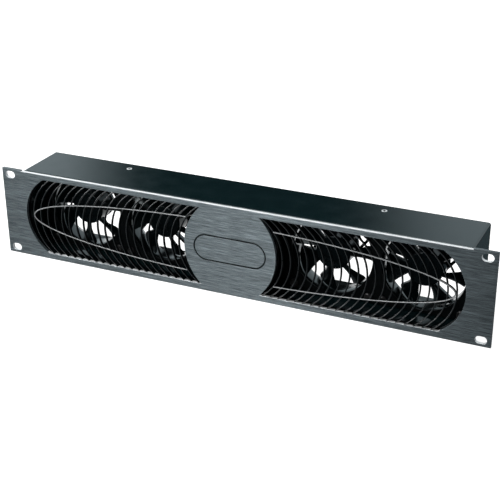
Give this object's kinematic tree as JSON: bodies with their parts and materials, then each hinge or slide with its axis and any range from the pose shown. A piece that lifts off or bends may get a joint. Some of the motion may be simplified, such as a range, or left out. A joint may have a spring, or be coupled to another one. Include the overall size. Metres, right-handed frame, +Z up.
{
  "type": "rack fan tray",
  "caption": "Rack-mount fan tray: brushed black panel with two grilles of curved fins, a folded chassis behind it and a row of axial fans on an inner plate.",
  "frame": {"origin": "middle of the four rack slots, on the panel's front face", "axes": "+X along the panel to the right as seen from the front, +Y from the front face into the rack, +Z up"},
  "size_m": [0.4826, 0.0599, 0.0882],
  "materials": {
    "panel_aluminium": "brushed lengthways and anodised black",
    "chassis_paint": "satin black powder coat on folded steel",
    "grille_plastic": "satin black moulding",
    "fan_plastic": "glossy black moulding",
    "impeller_plastic": "glossy black moulding",
    "inlet_plastic": "fine-grained black moulding",
    "zinc_steel": "bright zinc plate",
    "black_screw": "black oxide",
    "pin_brass": "nickel-plated brass",
    "stator_core": "wound core, enamelled copper on steel",
    "bearing_bronze": "sintered bronze",
    "board": "green board",
    "cup_steel": "plain steel",
    "magnet": "dull magnet",
    "shaft_steel": "ground steel"
  },
  "bodies": {
    "tray": {"front_panel": "panel_aluminium", "grille_left": "grille_plastic", "grille_right": "grille_plastic", "chassis": "chassis_paint", "bottom_cover": "chassis_paint", "fan_plate": "chassis_paint", "panel_studs": "zinc_steel", "panel_nuts": "zinc_steel", "deck_screws": "zinc_steel", "cover_screws": "black_screw", "power_inlet": "inlet_plastic", "inlet_pins": "pin_brass", "inlet_screws": "zinc_steel", "fan_frame_1": "fan_plastic", "stator_1": "stator_core", "bearings_1": "bearing_bronze", "circuit_board_1": "board", "fan_screws_1": "black_screw", "fan_frame_2": "fan_plastic", "stator_2": "stator_core", "bearings_2": "bearing_bronze", "circuit_board_2": "board", "fan_screws_2": "black_screw", "fan_frame_3": "fan_plastic", "stator_3": "stator_core", "bearings_3": "bearing_bronze", "circuit_board_3": "board", "fan_screws_3": "black_screw", "fan_frame_4": "fan_plastic", "stator_4": "stator_core", "bearings_4": "bearing_bronze", "circuit_board_4": "board", "fan_screws_4": "black_screw"},
    "fan_rotor_1": {"impeller_1": "impeller_plastic", "rotor_cup_1": "cup_steel", "magnet_ring_1": "magnet", "shaft_1": "shaft_steel", "retaining_ring_1": "shaft_steel"},
    "fan_rotor_2": {"impeller_2": "impeller_plastic", "rotor_cup_2": "cup_steel", "magnet_ring_2": "magnet", "shaft_2": "shaft_steel", "retaining_ring_2": "shaft_steel"},
    "fan_rotor_3": {"impeller_3": "impeller_plastic", "rotor_cup_3": "cup_steel", "magnet_ring_3": "magnet", "shaft_3": "shaft_steel", "retaining_ring_3": "shaft_steel"},
    "fan_rotor_4": {"impeller_4": "impeller_plastic", "rotor_cup_4": "cup_steel", "magnet_ring_4": "magnet", "shaft_4": "shaft_steel", "retaining_ring_4": "shaft_steel"}
  },
  "joints": [
    {"name": "fan_1_spin", "type": "hinge", "parent": "tray", "child": "fan_rotor_1", "pos_m": [-0.1707, 0.0342, 0], "axis": [0, 1, 0], "continuous": true},
    {"name": "fan_2_spin", "type": "hinge", "parent": "tray", "child": "fan_rotor_2", "pos_m": [-0.0859, 0.0342, 0], "axis": [0, 1, 0], "continuous": true},
    {"name": "fan_3_spin", "type": "hinge", "parent": "tray", "child": "fan_rotor_3", "pos_m": [0.0859, 0.0342, 0], "axis": [0, 1, 0], "continuous": true},
    {"name": "fan_4_spin", "type": "hinge", "parent": "tray", "child": "fan_rotor_4", "pos_m": [0.1707, 0.0342, 0], "axis": [0, 1, 0], "continuous": true}
  ]
}
